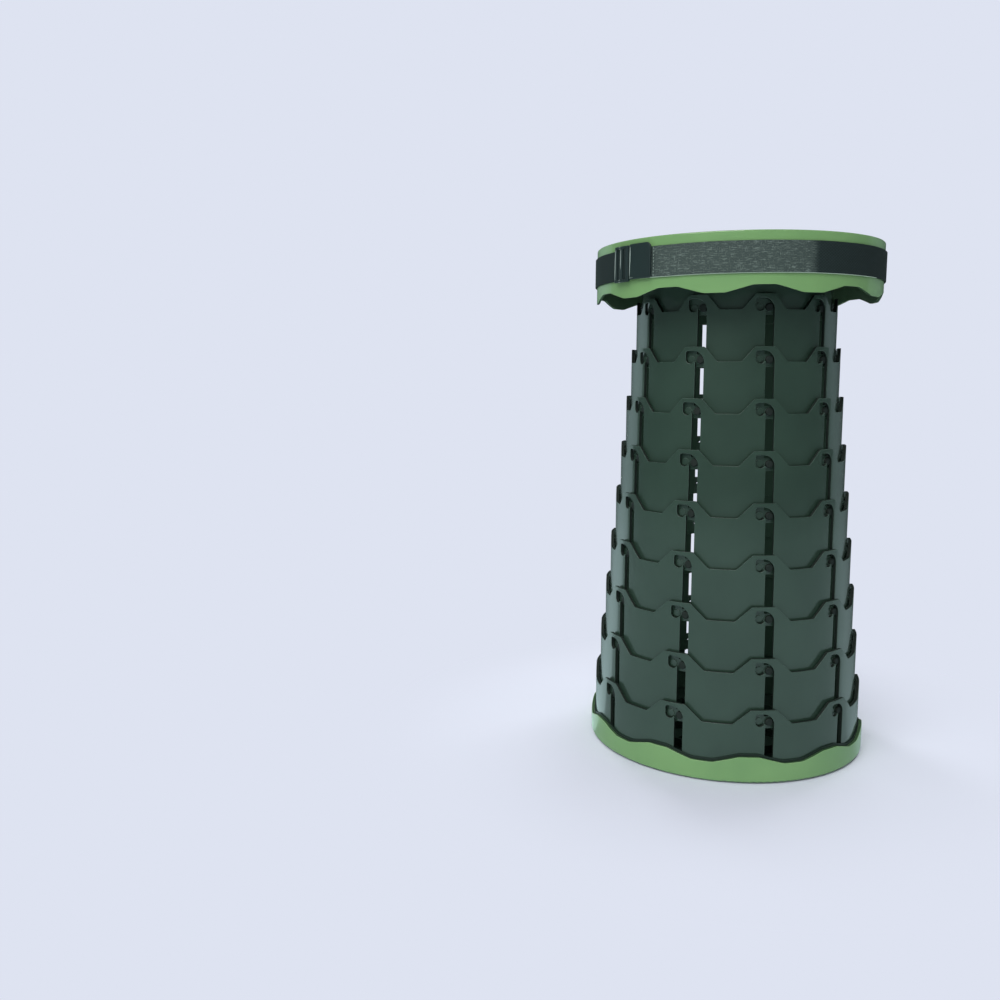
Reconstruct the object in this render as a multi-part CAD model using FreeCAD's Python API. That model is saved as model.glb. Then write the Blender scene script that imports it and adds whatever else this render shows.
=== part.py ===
import FreeCAD, Part
import math
import os

# Collapsible telescopic stool: nested slotted sleeves between a round base and a round seat.
# Millimetres, +Z up. The origin is on the floor at the middle of the base, the front is -Y.

os.makedirs("parts", exist_ok=True)

V = FreeCAD.Vector
UP = V(0, 0, 1)
ORIGIN = V(0, 0, 0)

# Overall sizes
stool_height = 450.0
folded_height = 65.0
rim_radius = 125.0

# How far cutters reach past what they cut, and how deep joined forms root in each other
beyond = 1.0
root = 0.5
same = 1e-4

# Column: sleeve 1 is the top one, the last sleeve is fixed in the base
sleeve_count = 9
lowest_sleeve_radius = 121.1
sleeve_wall = 2.9
sleeve_gap = 1.2

# Room left in the folded stack
floor_clearance = 0.3
stack_clearance = 0.4

# Top edge of a sleeve: a crown of tabs with valleys between them
tab_count = 10
tab_height = 12.5
tab_angle = -20.0
tab_flat_degrees = 10.4
valley_flat_degrees = 11.8
tab_rounding = 2.4

# Slots in which the lock pins of the next sleeve inwards run, with a hook pocket at the top
slot_angle = -17.4
slot_width = 7.6
pin_diameter = 6.4
pin_height = 5.9
pin_chamfer = 0.5
pin_groove_depth = 1.9
pin_groove_room = 1.4
pin_tip_clearance = 0.3
pin_top_clearance = 0.3
pocket_clearance = 0.7
pocket_offset = 8.2
pocket_step = 2.0
hook_web = 3.3
hook_corner = 2.0

# Low round pads beside the pins, which centre each sleeve in the next one
pad_diameter = 6.0
pad_lift = 0.4
pad_clearance = 0.35

# Base
foot_proud = 0.6
floor_thickness = 1.8
base_flange_thickness = 0.8
base_flange_width = 6.0
base_edge_rounding = 2.0
skirt_wall = 2.2
skirt_clearance = 0.1
liner_wall = 1.0
liner_clearance = 0.3
liner_rise = 2.0
base_skirt_low = 17.0
foot_count = 6
foot_diameter = 18.0
foot_thickness = 1.2
foot_circle = 102.0
foot_clearance = 0.05
foot_edge_rounding = 0.4
tongue_width = 12.0
tongue_clearance = 0.15
tongue_lift = 0.2
floor_rib_height = 7.0
floor_rib_wall = 1.8
floor_hub_radius = 24.0
floor_ring_radius = 70.0
floor_rib_count = 10

# Wavy parting line between the base skirt and the seat skirt
wave_angle = -7.5
wave_height = 6.0
wave_flat_degrees = 8.0
wave_rounding = 12.0
parting_gap = 0.5

# Seat
panel_thickness = 2.4
panel_rim_width = 1.5
panel_clearance = 0.2
panel_edge_rounding = 0.6
panel_ledge_width = 3.5
panel_ledge_depth = 6.0
seat_edge_rounding = 1.2
tube_flange_width = 20.0
tube_flange_thickness = 2.2
carrier_clearance = 0.4
carrier_thickness = 2.4
carrier_rib_depth = 12.0
carrier_rib_wall = 1.8
carrier_rib_count = 12
carrier_hub_radius = 14.0

# Screws that clamp the seat tube between the panel and the carrier
screw_count = 6
screw_circle = 72.0
screw_diameter = 2.9
screw_head_diameter = 6.5
screw_head_height = 2.2
screw_recess_width = 3.0
screw_recess_slot = 0.8
screw_recess_depth = 1.2
screw_depth = 8.0
screw_hole_clearance = 0.05
post_diameter = 8.0
post_length = 9.0
post_clearance = 0.2
boss_wall = 2.4
boss_floor = 3.0

# Webbing round the seat rim, with its slider, keeper and rivets
strap_width = 25.0
strap_thickness = 1.4
strap_gap = 0.25
strap_bottom = 417.0
strap_lap = 3.5
rivet_spread = 23.0
rivet_spacing = 12.0
rivet_shank_diameter = 4.0
rivet_hole_clearance = 0.1
rivet_head_diameter = 9.0
rivet_head_height = 1.8
rivet_head_edge = 0.6
rivet_head_clearance = 0.05
rivet_tail_diameter = 6.5
rivet_tail_height = 0.55
washer_thickness = 0.5
washer_clearance = 0.2
slider_from = -50.8
slider_to = -42.6
slider_height = 29.5
slider_lift = 0.6
slider_thickness = 2.6
slider_bar = 3.2
slider_rail = 2.2
keeper_from = -42.3
keeper_to = -32.1
keeper_height = 28.5
keeper_thickness = 1.6
keeper_rounding = 4.5
keeper_foot_rounding = 1.0

# Carrying loop: the slack of the webbing between the two pairs of rivets, at the back.
# It follows the rim past the rivets, turns out, and widens from its neck to its belly.
loop_reach = 74.0
loop_half_width = 54.0
loop_droop = 22.0
loop_gap = 0.3
loop_rim_degrees = 4.0
# Points of half the loop, as shares of its half width and of its reach
loop_points = [(0.545, 0.015), (0.55, 0.09), (0.72, 0.25), (0.96, 0.52), (0.96, 0.78),
               (0.62, 0.96)]

# Heights and radii that follow
floor_top = foot_proud + floor_thickness
panel_bottom = stool_height - panel_thickness
sleeve_bottom_folded = floor_top + floor_clearance
sleeve_height = folded_height - panel_thickness - stack_clearance - sleeve_bottom_folded
travel = (stool_height - folded_height) / sleeve_count
sleeve_pitch = sleeve_wall + sleeve_gap
period = 360.0 / tab_count
pocket_radius = pin_diameter / 2 + pocket_clearance
pin_groove_height = pin_height + pin_diameter / 2 + pin_groove_room
hook_rise = sleeve_height - travel - pin_height - hook_web
side_room = slot_width / 2 - pin_diameter / 2 - pin_top_clearance
top_room = hook_rise - pin_diameter / 2 - pin_top_clearance
hook_bend = side_room + top_room + pin_diameter / 2 + pin_top_clearance
hook_bend = hook_bend + math.sqrt(2 * side_room * top_room)
skirt_inner = rim_radius - skirt_wall
liner_inner = lowest_sleeve_radius + liner_clearance
liner_outer = liner_inner + liner_wall
base_skirt_inner = liner_outer + skirt_clearance
base_skirt_high = base_skirt_low + wave_height
seat_skirt_low = base_skirt_low + parting_gap + stool_height - folded_height
ledge_inner = rim_radius - panel_ledge_width
panel_seat_radius = rim_radius - panel_rim_width
seat_tube_radius = lowest_sleeve_radius - sleeve_count * sleeve_pitch
tube_inner = seat_tube_radius - sleeve_wall
flange_bottom = panel_bottom - tube_flange_thickness
carrier_bottom = flange_bottom - carrier_thickness
post_bottom = panel_bottom - post_length
tongue_bottom = foot_proud + base_flange_thickness + tongue_lift
boss_radius = post_diameter / 2 + post_clearance + boss_wall
boss_bottom = post_bottom - boss_floor
strap_inner = rim_radius + strap_gap
strap_outer = strap_inner + strap_thickness
strap_middle = strap_bottom + strap_width / 2
strap_end = 180.0 - rivet_spread + strap_lap
strap_middle_radius = (strap_inner + strap_outer) / 2


def sleeve_radius(number):
    """Outer radius of a sleeve; number 0 is the tube under the seat."""
    return lowest_sleeve_radius - (sleeve_count - number) * sleeve_pitch


def sleeve_bottom(number):
    """Height of a sleeve's lower edge with the stool pulled out."""
    return sleeve_bottom_folded + (sleeve_count - number) * travel


def disc(radius, bottom, top):
    """Upright solid disc."""
    return Part.makeCylinder(radius, top - bottom, V(0, 0, bottom))


def ring(outer, inner, bottom, top):
    """Upright ring."""
    return disc(outer, bottom, top).cut(disc(inner, bottom - beyond, top + beyond))


def turned(shape, degrees):
    """Copy of a shape turned about the column's axis, from the front towards +X."""
    copy = shape.copy()
    copy.rotate(ORIGIN, UP, degrees)
    return copy


def around(shape, count, first=0.0):
    """Copies of a shape spread evenly round the column's axis."""
    return [turned(shape, first + index * 360.0 / count) for index in range(count)]


def sleeve_ring(outer, inner, bottom, top):
    """Upright ring whose seam lies under a valley of the crown, clear of slots and pins."""
    return turned(ring(outer, inner, bottom, top), tab_angle + period / 2 - 90.0)


def raised(shape, height):
    """Copy of a shape moved up."""
    copy = shape.copy()
    copy.translate(V(0, 0, height))
    return copy


def front_face(corners):
    """Flat face at the front, from corners (x, z, rounding radius) in order."""
    edges = []
    arcs = []
    for index, (x, z, radius) in enumerate(corners):
        corner = V(x, 0, z)
        before = V(corners[index - 1][0], 0, corners[index - 1][1]) - corner
        after_x, after_z, _ = corners[(index + 1) % len(corners)]
        after = V(after_x, 0, after_z) - corner
        before.normalize()
        after.normalize()
        half = before.getAngle(after) / 2
        reach = radius / math.tan(half)
        middle = before + after
        middle.normalize()
        bulge = corner + middle * (radius / math.sin(half) - radius)
        arcs.append((corner + before * reach, bulge, corner + after * reach, radius))
    for index, (start, bulge, end, radius) in enumerate(arcs):
        if radius > 0:
            edges.append(Part.Arc(start, bulge, end).toShape())
        following = arcs[(index + 1) % len(arcs)][0]
        if end.distanceToPoint(following) > same:
            edges.append(Part.LineSegment(end, following).toShape())
    return Part.Face(Part.Wire(edges))


def front_cutter(face, outer, inner):
    """Solid of a face at the front, reaching through a wall between two radii."""
    half = max(face.BoundBox.XMax, -face.BoundBox.XMin)
    near = math.sqrt(inner * inner - half * half)
    moved = face.copy()
    moved.translate(V(0, -outer - beyond, 0))
    return moved.extrude(V(0, outer - near + 2 * beyond, 0))


def notch_face(radius, flat_degrees, mouth_degrees, bottom, mouth, rounding):
    """Trapezoid notch that opens from its flat bottom to its mouth and past it."""
    flat = radius * math.sin(math.radians(flat_degrees / 2))
    wide = radius * math.sin(math.radians(mouth_degrees / 2))
    side = 2 * beyond
    step = side if mouth > bottom else -side
    return front_face([
        (-flat, bottom, rounding),
        (flat, bottom, rounding),
        (wide, mouth, rounding),
        (wide + side, mouth, 0),
        (wide + side, mouth + step, 0),
        (-wide - side, mouth + step, 0),
        (-wide - side, mouth, 0),
        (-wide, mouth, rounding),
    ])


def ring_arc(outer, inner, bottom, top, start, end):
    """Part of an upright ring between two angles from the front."""
    sweep = end - start
    whole = Part.makeCylinder(outer, top - bottom, V(0, 0, bottom), UP, sweep)
    core = disc(inner, bottom - beyond, top + beyond)
    piece = whole.cut(core)
    piece.rotate(ORIGIN, UP, start - 90.0)
    return piece


def radial_cylinder(radius, inner, outer, height):
    """Round bar at the front that points away from the axis."""
    return Part.makeCylinder(radius, outer - inner, V(0, -inner, height), V(0, -1, 0))


def slot_cutters(outer, inner, bottom):
    """Slot, hook pocket and blind inner groove of one pin, at the front.

    The slot bends over at its top, and a low step parts it from the pocket, whose floor
    carries the locked pin at the height at which it left the slot.
    The groove lets the inner pin come all the way down, and the web that it leaves
    carries this sleeve's own pin.
    """
    half = slot_width / 2
    pin_z = bottom + travel + pin_height
    pocket_z = pin_z + pocket_clearance
    step_z = pocket_z - pocket_radius + pocket_step
    top = pin_z + hook_rise
    far = pocket_offset + pocket_radius
    slot = front_face([
        (-half, bottom + pin_groove_height, 0),
        (half, bottom + pin_groove_height, 0),
        (half, top, hook_bend),
        (-far, top, hook_corner),
        (-far, pocket_z, 0),
        (-pocket_offset, pocket_z, 0),
        (-pocket_offset, step_z, 0),
        (-half, step_z, 0),
    ])
    pocket = radial_cylinder(pocket_radius, inner - 3 * beyond, outer + beyond, pocket_z)
    pocket.translate(V(-pocket_offset, 0, 0))
    groove = Part.makeBox(slot_width, pin_groove_depth + 3 * beyond,
                          pin_groove_height + 3 * beyond,
                          V(-half, -inner - pin_groove_depth, bottom - 2 * beyond))
    return [front_cutter(slot, outer, inner), pocket, groove]


def pins(radius, bottom):
    """Ring of lock pins on a sleeve's outside, reaching into the next sleeve's grooves."""
    tip = radius + sleeve_gap + pin_groove_depth - pin_tip_clearance
    height = bottom + pin_height
    half = pin_diameter / 2
    shaft = radial_cylinder(half, radius - root, tip - pin_chamfer, height)
    nose = Part.makeCone(half, half - pin_chamfer, pin_chamfer,
                         V(0, pin_chamfer - tip, height), V(0, -1, 0))
    return around(shaft.fuse(nose), tab_count, slot_angle)


def pads(radius, bottom):
    """Ring of low round pads on a sleeve's outside, beside the pins."""
    pad = radial_cylinder(pad_diameter / 2, radius - sleeve_wall / 2, radius + sleeve_gap,
                          bottom + pin_height + pad_lift)
    pad.translate(V(-pocket_offset, 0, 0))
    face = disc(radius + sleeve_gap - pad_clearance, bottom, bottom + 2 * pin_height)
    return around(pad.common(face), tab_count, slot_angle)


def crown_cutters(outer, inner, top):
    """Valleys between the tabs on a sleeve's top edge."""
    mouth = period - tab_flat_degrees
    face = notch_face(outer, valley_flat_degrees, mouth, top - tab_height, top, tab_rounding)
    return around(front_cutter(face, outer, inner), tab_count, tab_angle + period / 2)


def wave_cutters(outer, inner, bottom, mouth, shift):
    """Notches of the wavy parting line; they open towards the mouth's height."""
    wide = period - wave_flat_degrees
    face = notch_face(rim_radius, wave_flat_degrees, wide, bottom, mouth, wave_rounding)
    return around(front_cutter(face, outer, inner), tab_count, wave_angle + shift)


def make_sleeve(number):
    """Slotted sleeve with a crown of tabs, and with pins and pads unless the base holds it."""
    outer = sleeve_radius(number)
    inner = outer - sleeve_wall
    bottom = sleeve_bottom(number)
    body = sleeve_ring(outer, inner, bottom, bottom + sleeve_height)
    cutters = crown_cutters(outer, inner, bottom + sleeve_height)
    for cutter in slot_cutters(outer, inner, bottom):
        cutters += around(cutter, tab_count, slot_angle)
    body = body.cut(cutters)
    if number == sleeve_count:
        return body.fuse(sleeve_tongues(0.0, tongue_bottom)).removeSplitter()
    return body.fuse(pins(outer, bottom) + pads(outer, bottom)).removeSplitter()


def sleeve_tongues(clearance, bottom):
    """Tongues under the lowest sleeve that lock into the base tray's floor."""
    outer = lowest_sleeve_radius + clearance
    inner = lowest_sleeve_radius - sleeve_wall - clearance
    half = math.degrees((tongue_width / 2 + clearance) / lowest_sleeve_radius)
    tongue = ring_arc(outer, inner, bottom, sleeve_bottom_folded, -half, half)
    return around(tongue, tab_count, tab_angle + period / 2)


def make_base_skirt():
    """Light ring round the base, with a wavy top edge and a flange under the tray."""
    skirt = ring(rim_radius, base_skirt_inner, foot_proud, base_skirt_high)
    skirt = skirt.cut(wave_cutters(rim_radius, base_skirt_inner, base_skirt_low,
                                   base_skirt_high, 0.0))
    flange_top = foot_proud + base_flange_thickness
    flange = ring(base_skirt_inner, rim_radius - base_flange_width, foot_proud, flange_top)
    skirt = skirt.fuse(flange).removeSplitter()
    return round_outer_edge(skirt, foot_proud, base_edge_rounding)


def round_outer_edge(shape, height, radius):
    """Round the full outer circle of a ring at one height."""
    edges = []
    for edge in shape.Edges:
        box = edge.BoundBox
        level = abs(box.ZMin - height) < same and abs(box.ZMax - height) < same
        if level and abs(box.XLength - 2 * rim_radius) < 10 * same:
            edges.append(edge)
    return shape.makeFillet(radius, edges)


def make_base_tray():
    """Dark floor of the base with its liner wall, ribs and seats for feet and tongues."""
    flange_top = foot_proud + base_flange_thickness
    step_radius = rim_radius - base_flange_width - skirt_clearance
    tray = disc(liner_outer, flange_top, floor_top)
    tray = tray.fuse(disc(step_radius, foot_proud, flange_top + root))
    liner = ring(liner_outer, liner_inner, flange_top, base_skirt_high + liner_rise)
    liner = liner.cut(wave_cutters(liner_outer, liner_inner, base_skirt_low + liner_rise,
                                   base_skirt_high + liner_rise, 0.0))
    tray = tray.fuse(liner)
    rib_top = floor_top + floor_rib_height
    ribs = [
        ring(floor_hub_radius, floor_hub_radius - floor_rib_wall, floor_top - root, rib_top),
        ring(floor_ring_radius, floor_ring_radius - floor_rib_wall, floor_top - root, rib_top),
    ]
    length = floor_ring_radius - floor_hub_radius
    spoke = Part.makeBox(floor_rib_wall, length, floor_rib_height + root,
                         V(-floor_rib_wall / 2, -floor_ring_radius + floor_rib_wall / 2,
                           floor_top - root))
    ribs += around(spoke, floor_rib_count)
    tray = tray.fuse(ribs)
    recess_radius = foot_diameter / 2 + foot_clearance
    recess = Part.makeCylinder(recess_radius, foot_thickness - foot_proud + foot_clearance,
                               V(0, -foot_circle, foot_proud))
    tray = tray.cut(around(recess, foot_count))
    return tray.cut(sleeve_tongues(tongue_clearance, 0.0)).removeSplitter()


def make_feet():
    """Rubber pads let into the underside of the base."""
    pad = Part.makeCylinder(foot_diameter / 2, foot_thickness, V(0, -foot_circle, 0))
    lower = [edge for edge in pad.Edges if edge.BoundBox.ZMax < same]
    pad = pad.makeFillet(foot_edge_rounding, lower)
    return Part.makeCompound(around(pad, foot_count))


def make_seat_tube():
    """Innermost tube, hung from the seat by its inward flange."""
    bottom = sleeve_bottom(0)
    tube = sleeve_ring(seat_tube_radius, tube_inner, bottom, panel_bottom)
    flange = ring(tube_inner, seat_tube_radius - tube_flange_width, flange_bottom, panel_bottom)
    tube = tube.fuse([flange] + pins(seat_tube_radius, bottom) + pads(seat_tube_radius, bottom))
    hole = Part.makeCylinder(post_diameter / 2 + post_clearance,
                             tube_flange_thickness + 2 * beyond,
                             V(0, -screw_circle, flange_bottom - beyond))
    return tube.cut(around(hole, screw_count)).removeSplitter()


def make_seat_skirt():
    """Light ring round the seat, with a wavy lower edge and a ledge for the panel."""
    skirt = ring(rim_radius, skirt_inner, seat_skirt_low, stool_height)
    ledge = ring(skirt_inner, ledge_inner, stool_height - panel_ledge_depth, panel_bottom)
    skirt = skirt.fuse(ledge)
    skirt = skirt.cut(disc(panel_seat_radius, panel_bottom, stool_height + beyond))
    skirt = skirt.cut(wave_cutters(rim_radius, skirt_inner, seat_skirt_low + wave_height,
                                   seat_skirt_low, period / 2))
    skirt = skirt.cut(rivet_holes()).removeSplitter()
    return round_outer_edge(skirt, stool_height, seat_edge_rounding)


def make_seat_panel():
    """Round top panel with screw posts on its underside."""
    radius = panel_seat_radius - panel_clearance
    panel = disc(radius, panel_bottom, stool_height)
    top_edges = [edge for edge in panel.Edges if edge.BoundBox.ZMin > stool_height - same]
    panel = panel.makeFillet(panel_edge_rounding, top_edges)
    post = Part.makeCylinder(post_diameter / 2, post_length + root,
                             V(0, -screw_circle, post_bottom))
    pilot = Part.makeCylinder(screw_diameter / 2 + screw_hole_clearance, screw_depth + beyond,
                              V(0, -screw_circle, post_bottom - beyond))
    return panel.fuse(around(post, screw_count)).cut(around(pilot, screw_count))


def make_seat_carrier():
    """Ribbed plate under the seat, screwed up against the tube's flange."""
    radius = tube_inner - carrier_clearance
    rib_bottom = flange_bottom - carrier_rib_depth
    plate = disc(radius, carrier_bottom, flange_bottom)
    ribs = [
        ring(carrier_hub_radius, carrier_hub_radius - carrier_rib_wall, rib_bottom,
             carrier_bottom + root),
        ring(radius, radius - carrier_rib_wall, rib_bottom, carrier_bottom + root),
    ]
    spoke = Part.makeBox(carrier_rib_wall, radius - carrier_hub_radius,
                         carrier_rib_depth - carrier_thickness + root,
                         V(-carrier_rib_wall / 2, -radius + carrier_rib_wall / 2, rib_bottom))
    ribs += around(spoke, carrier_rib_count, 180.0 / carrier_rib_count)
    boss = Part.makeCylinder(boss_radius, carrier_bottom - boss_bottom + root,
                             V(0, -screw_circle, boss_bottom))
    carrier = plate.fuse(ribs + around(boss, screw_count))
    carrier = carrier.common(disc(radius, boss_bottom - beyond, flange_bottom))
    socket = Part.makeCylinder(post_diameter / 2 + post_clearance,
                               flange_bottom - post_bottom + beyond,
                              V(0, -screw_circle, post_bottom))
    hole = Part.makeCylinder(screw_diameter / 2 + 2 * screw_hole_clearance,
                             boss_floor + 2 * beyond,
                             V(0, -screw_circle, boss_bottom - beyond))
    return carrier.cut(around(socket, screw_count) + around(hole, screw_count)).removeSplitter()


def make_seat_screws():
    """Pan-head screws in the carrier's bosses."""
    head = Part.makeCylinder(screw_head_diameter / 2, screw_head_height,
                             V(0, -screw_circle, boss_bottom - screw_head_height))
    crown = [edge for edge in head.Edges
             if edge.BoundBox.ZMax < boss_bottom - screw_head_height + same]
    head = head.makeFillet(screw_head_height / 3, crown)
    shank = Part.makeCylinder(screw_diameter / 2, boss_floor + screw_depth,
                              V(0, -screw_circle, boss_bottom - root))
    screw = head.fuse(shank)
    for angle in (0, 90):
        blade = Part.makeBox(screw_recess_width, screw_recess_slot, screw_recess_depth,
                             V(-screw_recess_width / 2, -screw_circle - screw_recess_slot / 2,
                               boss_bottom - screw_head_height))
        blade.rotate(V(0, -screw_circle, 0), UP, angle)
        screw = screw.cut(blade)
    return Part.makeCompound(around(screw, screw_count))


def at_rivets(shape):
    """Copies of a front shape at the four rivets."""
    copies = []
    for side in (-1, 1):
        for row in (-1, 1):
            angle = 180.0 + side * rivet_spread
            copies.append(turned(raised(shape, strap_middle + row * rivet_spacing / 2), angle))
    return copies


def rivet_holes():
    """Holes through the skirt and the webbing."""
    radius = rivet_shank_diameter / 2 + rivet_hole_clearance
    return at_rivets(radial_cylinder(radius, ledge_inner - beyond, strap_outer + beyond, 0))


def make_rivets():
    """Dome-headed rivets that hold the webbing to the seat rim."""
    head_base = strap_outer + rivet_head_clearance
    radius = rivet_head_diameter / 2
    edge = radial_cylinder(radius, head_base, head_base + rivet_head_edge, 0)
    rise = rivet_head_height - rivet_head_edge
    ball_radius = (radius * radius + rise * rise) / (2 * rise)
    ball = Part.makeSphere(ball_radius, V(0, -(head_base + rivet_head_height - ball_radius), 0))
    dome = ball.common(radial_cylinder(radius, head_base + rivet_head_edge / 2,
                                       head_base + 2 * rivet_head_height, 0))
    tail_outer = skirt_inner - washer_clearance - washer_thickness
    tail = radial_cylinder(rivet_tail_diameter / 2, tail_outer - rivet_tail_height, tail_outer, 0)
    shank = radial_cylinder(rivet_shank_diameter / 2, tail_outer - rivet_tail_height / 2,
                            head_base + rivet_head_edge / 2, 0)
    rivet = edge.fuse([dome, tail, shank]).removeSplitter()
    return Part.makeCompound(at_rivets(rivet))


def make_rivet_washers():
    """Flat washers under the rivets' tails, inside the skirt."""
    outer = skirt_inner - washer_clearance
    inner = outer - washer_thickness
    washer = radial_cylinder(rivet_head_diameter / 2, inner, outer, 0)
    bore = radial_cylinder(rivet_shank_diameter / 2 + rivet_hole_clearance, inner - beyond,
                           outer + beyond, 0)
    return Part.makeCompound(at_rivets(washer.cut(bore)))


def make_strap_band():
    """Webbing that goes round the seat rim from one pair of rivets to the other."""
    top = strap_bottom + strap_width
    band = ring_arc(strap_outer, strap_inner, strap_bottom, top, -strap_end, strap_end)
    return band.cut(rivet_holes())


def make_strap_slider():
    """Three-bar slider through which the webbing's end is doubled back."""
    inner = strap_outer + strap_gap
    outer = inner + slider_thickness
    bottom = strap_middle + slider_lift - slider_height / 2
    top = bottom + slider_height
    frame = ring_arc(outer, inner, bottom, top, slider_from, slider_to)
    bar = math.degrees(slider_bar / outer)
    window = (slider_to - slider_from - 3 * bar) / 2
    windows = []
    for index in range(2):
        start = slider_from + bar + index * (window + bar)
        windows.append(ring_arc(outer + beyond, inner - beyond, bottom + slider_rail,
                                top - slider_rail, start, start + window))
    return frame.cut(windows)


def make_strap_keeper():
    """Smooth tab that covers the doubled end of the webbing."""
    inner = strap_outer + strap_gap
    outer = inner + keeper_thickness
    half = outer * math.sin(math.radians((keeper_to - keeper_from) / 2))
    bottom = strap_bottom
    face = front_face([
        (-half, bottom, keeper_foot_rounding),
        (half, bottom, keeper_foot_rounding),
        (half, bottom + keeper_height, keeper_rounding),
        (-half, bottom + keeper_height, keeper_foot_rounding),
    ])
    plug = front_cutter(face, outer, inner)
    plug.rotate(ORIGIN, UP, (keeper_from + keeper_to) / 2)
    return ring(outer, inner, bottom - beyond, bottom + keeper_height + beyond).common(plug)


def at_rim(degrees):
    """Point on the webbing's middle, at an angle from the back of the rim."""
    turn = math.radians(degrees)
    return V(strap_middle_radius * math.sin(turn), strap_middle_radius * math.cos(turn),
             strap_middle)


def loop_line():
    """Centre line of the carrying loop, from its right end round to its left end."""
    end_degrees = 180.0 - strap_end - math.degrees(loop_gap / strap_middle_radius)
    half = [at_rim(end_degrees - turn * loop_rim_degrees) for turn in (0, 0.5, 1)]
    for width_share, reach_share in loop_points:
        half.append(V(width_share * loop_half_width,
                      strap_middle_radius + reach_share * loop_reach,
                      strap_middle - reach_share * loop_droop))
    far = V(0, strap_middle_radius + loop_reach, strap_middle - loop_droop)
    points = half + [far] + [V(-point.x, point.y, point.z) for point in reversed(half)]
    lengths = [0.0]
    for point, following in zip(points, points[1:]):
        lengths.append(lengths[-1] + point.distanceToPoint(following))
    line = Part.BSplineCurve()
    line.interpolate(Points=points, Parameters=lengths)
    return line


def make_strap_loop():
    """Slack of the webbing that stands out behind the seat as a carrying loop."""
    line = loop_line()
    start = line.value(line.FirstParameter)
    outward = V(start.x, start.y, 0).normalize() * (strap_thickness / 2)
    half = UP * (strap_width / 2)
    corners = [start - outward - half, start + outward - half,
               start + outward + half, start - outward + half]
    sweep = Part.BRepOffsetAPI.MakePipeShell(Part.Wire(line.toShape()))
    sweep.setBiNormalMode(UP)
    sweep.add(Part.makePolygon(corners + [corners[0]]))
    sweep.build()
    sweep.makeSolid()
    print("carrying loop length", round(line.length(), 1), "mm")
    return sweep.shape()


def save(name, shape):
    """Check a shape and write it as the STEP file of one named piece."""
    volume = sum(solid.Volume for solid in shape.Solids)
    print(name, "solids", len(shape.Solids), "valid", shape.isValid(), "cm3", round(volume / 1000, 2))
    shape.exportStep("parts/" + name + ".step")


save("base_skirt", make_base_skirt())
save("base_tray", make_base_tray())
save("foot_pads", make_feet())
for sleeve_number in range(1, sleeve_count + 1):
    save("sleeve_" + str(sleeve_number), make_sleeve(sleeve_number))
save("seat_tube", make_seat_tube())
save("seat_skirt", make_seat_skirt())
save("seat_panel", make_seat_panel())
save("seat_carrier", make_seat_carrier())
save("seat_screws", make_seat_screws())
save("strap_band", make_strap_band())
save("strap_loop", make_strap_loop())
save("strap_slider", make_strap_slider())
save("strap_keeper", make_strap_keeper())
save("strap_rivets", make_rivets())
save("rivet_washers", make_rivet_washers())
print("slide travel per sleeve", round(travel, 3), "mm, sleeve height", round(sleeve_height, 2), "mm")
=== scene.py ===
"""Dressed model of a collapsible telescopic stool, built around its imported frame."""
import heapq
import logging
import math
from dataclasses import dataclass, field
from enum import Enum
from typing import Any, Callable, Iterable, Sequence

import bmesh
import bpy
from mathutils import Matrix, Vector, noise
from mathutils.bvhtree import BVHTree


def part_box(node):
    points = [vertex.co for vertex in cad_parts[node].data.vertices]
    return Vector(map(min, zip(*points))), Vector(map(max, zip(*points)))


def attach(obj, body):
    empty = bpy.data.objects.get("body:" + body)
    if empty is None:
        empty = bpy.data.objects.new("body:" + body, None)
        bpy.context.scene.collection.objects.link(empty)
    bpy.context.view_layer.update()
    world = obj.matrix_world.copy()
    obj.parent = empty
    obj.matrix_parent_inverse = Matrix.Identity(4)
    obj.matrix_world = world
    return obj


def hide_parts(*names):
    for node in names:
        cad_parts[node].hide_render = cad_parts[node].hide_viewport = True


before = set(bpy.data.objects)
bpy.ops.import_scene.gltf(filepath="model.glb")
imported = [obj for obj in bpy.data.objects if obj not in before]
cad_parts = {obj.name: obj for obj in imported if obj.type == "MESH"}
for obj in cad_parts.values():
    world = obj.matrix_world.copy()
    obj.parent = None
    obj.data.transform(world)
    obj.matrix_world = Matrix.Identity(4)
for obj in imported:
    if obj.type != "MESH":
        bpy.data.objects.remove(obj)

LOG = logging.getLogger("stool")
MM = 0.001
Colour = tuple[float, float, float]
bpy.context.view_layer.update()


class Body(Enum):
    """Bodies of the frame that new pieces ride on."""

    BASE = "base"
    SEAT = "seat"


class Slot(Enum):
    """Material slots of the record, which the mouldings list but don't use."""

    SKIRT = "skirt_green"
    COLUMN = "column_green"
    WEBBING = "webbing"
    STRAP_PLASTIC = "strap_plastic"


def srgb(red: int, green: int, blue: int) -> Colour:
    """Linear colour of an 8-bit screen colour.

    Args:
        red: Red from 0 to 255.
        green: Green from 0 to 255.
        blue: Blue from 0 to 255.

    Returns:
        The colour in linear light.
    """
    def linear(value: int) -> float:
        """One channel in linear light."""
        share = value / 255.0
        return share / 12.92 if share <= 0.04045 else ((share + 0.055) / 1.055) ** 2.4
    return linear(red), linear(green), linear(blue)


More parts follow.
